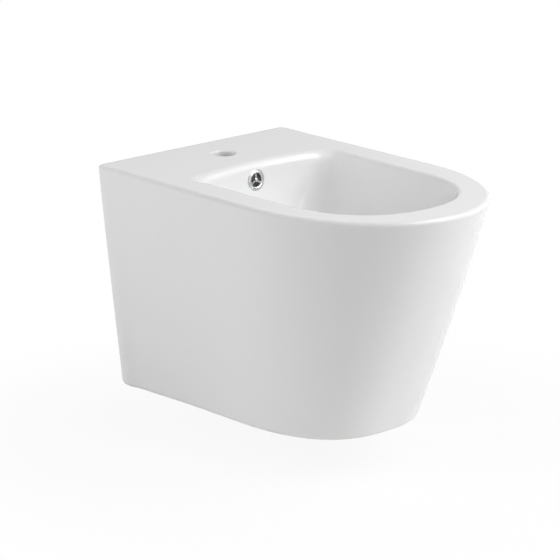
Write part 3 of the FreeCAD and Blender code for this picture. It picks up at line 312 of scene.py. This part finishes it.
def glaze_ends(tree, place):
    """1 where the ware is left bare, and 1 where it gets only the mist of the spray gun."""
    at = add_node(tree, "ShaderNodeSeparateXYZ", inputs={0: place.outputs["Object"]})
    facing = add_node(tree, "ShaderNodeSeparateXYZ", inputs={0: place.outputs["Normal"]})
    ragged = add_node(tree, "ShaderNodeTexNoise", inputs={
        "Vector": place.outputs["Object"], "Scale": 1 / LINE_GRAIN, "Detail": 3.0})
    shift = add_node(tree, "ShaderNodeMath", {"operation": "MULTIPLY_ADD"}, {
        0: ragged, 1: LINE_RAGGED, 2: -LINE_RAGGED / 2})
    rearward = add_node(tree, "ShaderNodeMath", {"operation": "ADD"}, {
        0: at.outputs["Y"], 1: shift})
    rear = add_node(tree, "ShaderNodeMapRange", inputs={
        "Value": rearward, "From Min": REAR_LINE[0], "From Max": REAR_LINE[1]})
    downward = add_node(tree, "ShaderNodeMath", {"operation": "MULTIPLY_ADD"}, {
        0: shift, 1: FOOT_RAGGED_SHARE, 2: at.outputs["Z"]})
    foot = add_node(tree, "ShaderNodeMapRange", inputs={
        "Value": downward, "From Min": foot_level + FOOT_LINE[0],
        "From Max": foot_level + FOOT_LINE[1]})
    bare = add_node(tree, "ShaderNodeMath", {"operation": "MAXIMUM"}, {0: rear, 1: foot})
    misted = add_node(tree, "ShaderNodeMapRange", inputs={
        "Value": facing.outputs["Z"], "From Min": MISTED_SLOPE[0], "From Max": MISTED_SLOPE[1]})
    return bare, misted


print("glazed down to", round(foot_level, 4), "m")

# %% [markdown]
# To the eye the ware is a white matt body under a clear gloss. The glaze levels as a thick
# liquid does, which leaves a slow wave in its mirror images, and over a few millimetres a skin
# like that of an orange. Both could be modelled in the mesh, but they are only hundredths and
# thousandths of a millimetre high, so a bump that tilts the reflections is the right tool. The
# bare biscuit is sandy, with grit of just under a millimetre.

# %% Glazed vitreous china
GLAZE_ROUGHNESS = 0.1
MIST_ROUGHNESS = 0.4
BISCUIT_ROUGHNESS = 0.8
GLAZE_IOR = 1.5
MIST_TINT = "#E9E6DF"
BISCUIT_DARK = "#DDD6C8"
BISCUIT_LIGHT = "#EAE4D8"
GRIT = 0.8 * MM
GRIT_DEPTH = 0.05 * MM
WAVE = 45 * MM
WAVE_DEPTH = 0.6 * MM
WAVE_STRENGTH = 0.05
SKIN = 2.5 * MM
SKIN_DEPTH = 0.004 * MM
SKIN_STRENGTH = 0.5


def china_colour(tree, bare, misted, grit):
    """White glaze, a thinner mist of it, or creamy biscuit."""
    white = add_node(tree, "ShaderNodeMix", {"data_type": "RGBA"}, {
        0: misted, COLOUR_A: linear(GLAZE_WHITE), COLOUR_B: linear(MIST_TINT)})
    biscuit = add_node(tree, "ShaderNodeMix", {"data_type": "RGBA"}, {
        0: grit, COLOUR_A: linear(BISCUIT_DARK), COLOUR_B: linear(BISCUIT_LIGHT)})
    colour = add_node(tree, "ShaderNodeMix", {"data_type": "RGBA"}, {
        0: bare, COLOUR_A: white.outputs[MIXED_COLOUR], COLOUR_B: biscuit.outputs[MIXED_COLOUR]})
    return colour.outputs[MIXED_COLOUR]


def china_relief(tree, place, bare, grit):
    """The slow wave and the fine skin of the glaze, and the sand of the biscuit."""
    wave = add_node(tree, "ShaderNodeTexNoise", inputs={
        "Vector": place.outputs["Object"], "Scale": 1 / WAVE, "Detail": 1.0, "Roughness": 0.4})
    levelled = add_node(tree, "ShaderNodeBump", inputs={
        "Strength": WAVE_STRENGTH, "Distance": WAVE_DEPTH, "Height": wave})
    skin = add_node(tree, "ShaderNodeTexNoise", inputs={
        "Vector": place.outputs["Object"], "Scale": 1 / SKIN, "Detail": 1.0})
    peel = add_node(tree, "ShaderNodeBump", inputs={
        "Strength": SKIN_STRENGTH, "Distance": SKIN_DEPTH, "Height": skin, "Normal": levelled})
    return add_node(tree, "ShaderNodeBump", inputs={
        "Strength": bare, "Distance": GRIT_DEPTH, "Height": grit, "Normal": peel})


def make_china():
    material, tree = new_material("glazed_vitreous_china")
    place = add_node(tree, "ShaderNodeTexCoord")
    bare, misted = glaze_ends(tree, place)
    grit = add_node(tree, "ShaderNodeTexNoise", inputs={
        "Vector": place.outputs["Object"], "Scale": 1 / GRIT, "Detail": 2.0})
    gloss = add_node(tree, "ShaderNodeMapRange", inputs={
        "Value": misted, "To Min": GLAZE_ROUGHNESS, "To Max": MIST_ROUGHNESS})
    rough = add_node(tree, "ShaderNodeMapRange", inputs={
        "Value": bare, "To Min": gloss, "To Max": BISCUIT_ROUGHNESS})
    shader = add_node(tree, "ShaderNodeBsdfPrincipled", inputs={
        "Base Color": china_colour(tree, bare, misted, grit), "Roughness": rough,
        "IOR": GLAZE_IOR, "Normal": china_relief(tree, place, bare, grit)})
    add_node(tree, "ShaderNodeOutputMaterial", inputs={"Surface": shader})
    return material


china = make_china()
print("glaze:", GLAZE_WHITE, "with a wave every", round(WAVE / MM), "mm")

# %% [markdown]
# Chrome plate is a cool grey mirror a few ten thousandths of a millimetre thick, laid on nickel
# and brass. It keeps the polishing marks of the brass under it, which the eye reads as a
# slight change in sharpness from place to place. Rubber washers are pressed from EPDM and come
# out matt black, with a grey bloom. The slip washer and the wall sleeves are moulded in natural
# white polypropylene, which is satin. Washers and nuts on the wall are zinc plated and
# passivated, a grey metal with a faint yellow and blue cloud. Each could have
# a tree of its own. They differ only in colour, gloss and size of grain, so one tree that
# takes these as its numbers makes them all.

# %% Finish with a fine grain
GRAIN_STRENGTH = 0.3
CLOUD_SPAN = (0.3, 0.7)
ROUGHNESS_SPREAD = (0.8, 1.25)


def make_grained(name, dark, light, metallic, roughness, grain, depth, cloud):
    """A finish with a fine grain in its relief and a slower change in its colour and gloss."""
    material, tree = new_material(name)
    place = add_node(tree, "ShaderNodeTexCoord")
    fine = add_node(tree, "ShaderNodeTexNoise", inputs={
        "Vector": place.outputs["Object"], "Scale": 1 / grain, "Detail": 3.0})
    slow = add_node(tree, "ShaderNodeTexNoise", inputs={
        "Vector": place.outputs["Object"], "Scale": 1 / cloud, "Detail": 2.0})
    colour = add_node(tree, "ShaderNodeMix", {"data_type": "RGBA"}, {
        0: slow, COLOUR_A: linear(dark), COLOUR_B: linear(light)})
    rough = add_node(tree, "ShaderNodeMapRange", inputs={
        "Value": slow, "From Min": CLOUD_SPAN[0], "From Max": CLOUD_SPAN[1],
        "To Min": roughness * ROUGHNESS_SPREAD[0], "To Max": roughness * ROUGHNESS_SPREAD[1]})
    bump = add_node(tree, "ShaderNodeBump", inputs={
        "Strength": GRAIN_STRENGTH, "Distance": depth, "Height": fine})
    shader = add_node(tree, "ShaderNodeBsdfPrincipled", inputs={
        "Base Color": colour.outputs[MIXED_COLOUR], "Metallic": metallic, "Roughness": rough,
        "Normal": bump})
    add_node(tree, "ShaderNodeOutputMaterial", inputs={"Surface": shader})
    return material


chrome = make_grained(
    "polished_chrome_plate", dark="#DADBDD", light="#E7E8E9", metallic=1.0, roughness=0.06,
    grain=3 * MM, depth=0.01 * MM, cloud=20 * MM)
rubber = make_grained(
    "pressed_epdm_rubber", dark="#151517", light="#232325", metallic=0.0, roughness=0.6,
    grain=0.5 * MM, depth=0.05 * MM, cloud=6 * MM)
plastic = make_grained(
    "moulded_polypropylene", dark="#DEDDD6", light="#E9E8E3", metallic=0.0, roughness=0.4,
    grain=0.8 * MM, depth=0.02 * MM, cloud=12 * MM)
zinc = make_grained(
    "passivated_zinc_plate", dark="#A5A9AF", light="#B7B4A8", metallic=1.0, roughness=0.34,
    grain=0.7 * MM, depth=0.03 * MM, cloud=7 * MM)
print("grained finishes:", [entry.name for entry in (chrome, rubber, plastic, zinc)])

# %% [markdown]
# The backnut, the stem and the latch's housing are turned on a lathe from brass bar and left
# as they are. The tool leaves fine rings about a third of a millimetre apart, centred on the
# waste's axis. They could be cut in the mesh, at the cost of many thousand faces. Here they
# follow from two numbers only, the distance from that axis and the height, so the same
# pattern runs round a cylinder and across a face, as the tool did.

# %% Turned brass
TOOL_FEED = 0.35 * MM
TOOL_DEPTH = 0.02 * MM
TOOL_STRENGTH = 0.4
TARNISH = 8 * MM
BRASS_DARK = "#B8934C"
BRASS_LIGHT = "#D2AE68"
BRASS_ROUGHNESS = 0.27
waste_low, waste_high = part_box("waste_body")
WASTE_AXIS = Vector(((waste_low[0] + waste_high[0]) / 2, (waste_low[1] + waste_high[1]) / 2, 0))


def make_turned_brass():
    material, tree = new_material("turned_brass")
    place = add_node(tree, "ShaderNodeTexCoord")
    centred = add_node(tree, "ShaderNodeVectorMath", {"operation": "SUBTRACT"}, {
        0: place.outputs["Object"], 1: WASTE_AXIS})
    flat = add_node(tree, "ShaderNodeVectorMath", {"operation": "MULTIPLY"}, {
        0: centred, 1: (1, 1, 0)})
    radius = add_node(tree, "ShaderNodeVectorMath", {"operation": "LENGTH"}, {0: flat})
    height = add_node(tree, "ShaderNodeSeparateXYZ", inputs={0: centred})
    both = add_node(tree, "ShaderNodeCombineXYZ", inputs={
        0: radius.outputs["Value"], 1: height.outputs["Z"]})
    rings = add_node(tree, "ShaderNodeTexNoise", inputs={
        "Vector": both, "Scale": 1 / TOOL_FEED, "Detail": 1.0})
    bump = add_node(tree, "ShaderNodeBump", inputs={
        "Strength": TOOL_STRENGTH, "Distance": TOOL_DEPTH, "Height": rings})
    tarnish = add_node(tree, "ShaderNodeTexNoise", inputs={
        "Vector": place.outputs["Object"], "Scale": 1 / TARNISH, "Detail": 2.0})
    colour = add_node(tree, "ShaderNodeMix", {"data_type": "RGBA"}, {
        0: tarnish, COLOUR_A: linear(BRASS_DARK), COLOUR_B: linear(BRASS_LIGHT)})
    shader = add_node(tree, "ShaderNodeBsdfPrincipled", inputs={
        "Base Color": colour.outputs[MIXED_COLOUR], "Metallic": 1.0,
        "Roughness": BRASS_ROUGHNESS, "Normal": bump})
    add_node(tree, "ShaderNodeOutputMaterial", inputs={"Surface": shader})
    return material


brass = make_turned_brass()
print("the lathe's axis stands at", [round(value, 4) for value in WASTE_AXIS])

# %% [markdown]
# The record names a finish for every solid. So the materials needn't be given out one by one:
# a table says which material each finish is, and a loop puts it in the slots of its solids.

# %% Finishes to the nodes
finishes = {
    "china": china, "chrome": chrome, "brass": brass, "rubber": rubber, "plastic": plastic,
    "steel": zinc}
slot_of = {entry["node"]: entry["material_slot"] for entry in frame["record"]["subparts"]}
for node, thing in frame["nodes"].items():
    for slot in thing.material_slots:
        slot.material = finishes[slot_of[node]]
print("finishes given to", len(slot_of), "nodes")

# %% [markdown]
# The latch's spring is wound from 1 mm stainless wire, with the last turn at each end laid
# flat on its neighbour so that it stands square. The solid in the frame is a plain sleeve. A
# coil is a line that follows a rule, so Geometry Nodes draw it: a helix, whose points are
# moved up along a line with three slopes (a slow, a quick and a slow one), and a round
# section swept along it. Each slow slope rises by one wire, and half a wire stays above and
# below the line, so the quick slope has the height less three wires.

# %% A tree that winds wire
POINTS_PER_TURN = 20
WIRE_SIDES = 10


def tree_input(tree, name):
    """A named size of a geometry tree, and the identifier that a modifier sets it by."""
    return tree.interface.new_socket(name, in_out="INPUT", socket_type="NodeSocketFloat").identifier


def make_coil_tree(material):
    """A coil on the origin that stands on its lower end, and the identifiers of its sizes."""
    tree = bpy.data.node_groups.new("wound_wire", "GeometryNodeTree")
    names = {name: tree_input(tree, name) for name in ("Turns", "Radius", "Wire", "Height")}
    tree.interface.new_socket("Geometry", in_out="OUTPUT", socket_type="NodeSocketGeometry")
    given = add_node(tree, "NodeGroupInput").outputs
    helix = add_node(tree, "GeometryNodeCurveSpiral", inputs={
        "Resolution": POINTS_PER_TURN, "Rotations": given["Turns"],
        "Start Radius": given["Radius"], "End Radius": given["Radius"], "Height": 0.0})
    along = add_node(tree, "GeometryNodeSplineParameter").outputs["Factor"]
    one_turn = add_node(tree, "ShaderNodeMath", {"operation": "DIVIDE"}, {
        0: 1.0, 1: given["Turns"]})
    last_turn = add_node(tree, "ShaderNodeMath", {"operation": "SUBTRACT"}, {0: 1.0, 1: one_turn})
    half_wire = add_node(tree, "ShaderNodeMath", {"operation": "DIVIDE"}, {
        0: given["Wire"], 1: 2.0})
    three_wires = add_node(tree, "ShaderNodeMath", {"operation": "MULTIPLY"}, {
        0: given["Wire"], 1: 3.0})
    rise = add_node(tree, "ShaderNodeMath", {"operation": "SUBTRACT"}, {
        0: given["Height"], 1: three_wires})
    level = half_wire
    for start, end, height in (
            (0.0, one_turn, given["Wire"]), (one_turn, last_turn, rise),
            (last_turn, 1.0, given["Wire"])):
        slope = add_node(tree, "ShaderNodeMapRange", inputs={
            "Value": along, "From Min": start, "From Max": end, "To Min": 0.0, "To Max": height})
        level = add_node(tree, "ShaderNodeMath", {"operation": "ADD"}, {0: level, 1: slope})
    move = add_node(tree, "ShaderNodeCombineXYZ", inputs={2: level})
    moved = add_node(tree, "GeometryNodeSetPosition", inputs={"Geometry": helix, "Offset": move})
    section = add_node(tree, "GeometryNodeCurvePrimitiveCircle", inputs={
        "Resolution": WIRE_SIDES, "Radius": half_wire})
    swept = add_node(tree, "GeometryNodeCurveToMesh", inputs={
        "Curve": moved, "Profile Curve": section, "Fill Caps": True})
    smooth = add_node(tree, "GeometryNodeSetShadeSmooth", inputs={"Geometry": swept})
    real = add_node(tree, "GeometryNodeRealizeInstances", inputs={"Geometry": smooth})
    painted = add_node(tree, "GeometryNodeSetMaterial", inputs={
        "Geometry": real, "Material": material})
    add_node(tree, "NodeGroupOutput", inputs={"Geometry": painted})
    return tree, names


wire_steel = make_grained(
    "drawn_stainless_wire", dark="#AEB1B4", light="#C3C5C6", metallic=1.0, roughness=0.22,
    grain=0.3 * MM, depth=0.01 * MM, cloud=5 * MM)
coil_tree, coil_inputs = make_coil_tree(wire_steel)
print("the tree's sizes:", list(coil_inputs))

# %% [markdown]
# The tree could stay on the spring as a live modifier. Its result is kept as a plain mesh
# instead, because a piece that moves with a body and is squeezed has to be plain. On the
# real latch the coil is pressed towards its foot when the plug goes down.

# %% The latch's spring
SPRING_WIRE = 1 * MM
SPRING_TURNS = 8.0


def grown_mesh(name, tree, values):
    """Run a geometry tree once and keep its result as a plain mesh."""
    host = bpy.data.objects.new(name + "_host", bpy.data.meshes.new(name + "_host"))
    bpy.context.scene.collection.objects.link(host)
    modifier = host.modifiers.new("growth", "NODES")
    modifier.node_group = tree
    for identifier, value in values.items():
        modifier[identifier] = value
    bpy.context.view_layer.update()
    shown = host.evaluated_get(bpy.context.evaluated_depsgraph_get())
    mesh = bpy.data.meshes.new_from_object(shown)
    mesh.name = name
    bpy.data.objects.remove(host)
    return mesh


spring_low, spring_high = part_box("latch_spring")
spring_height = spring_high[2] - spring_low[2]
spring_reach = (spring_high[0] - spring_low[0]) / 2
coil_mesh = grown_mesh("latch_coil_spring", coil_tree, {
    coil_inputs["Turns"]: SPRING_TURNS, coil_inputs["Radius"]: spring_reach - SPRING_WIRE / 2,
    coil_inputs["Wire"]: SPRING_WIRE, coil_inputs["Height"]: spring_height})
coil_foot = Vector((WASTE_AXIS.x, WASTE_AXIS.y, spring_low[2]))
coil_mesh.transform(Matrix.Translation(coil_foot))
coil = bpy.data.objects.new("latch_coil_spring", coil_mesh)
bpy.context.scene.collection.objects.link(coil)
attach(coil, "bidet")
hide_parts("latch_spring")
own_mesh(coil)
print("spring:", len(coil_mesh.polygons), "faces,", round(spring_height / MM, 2), "mm high")
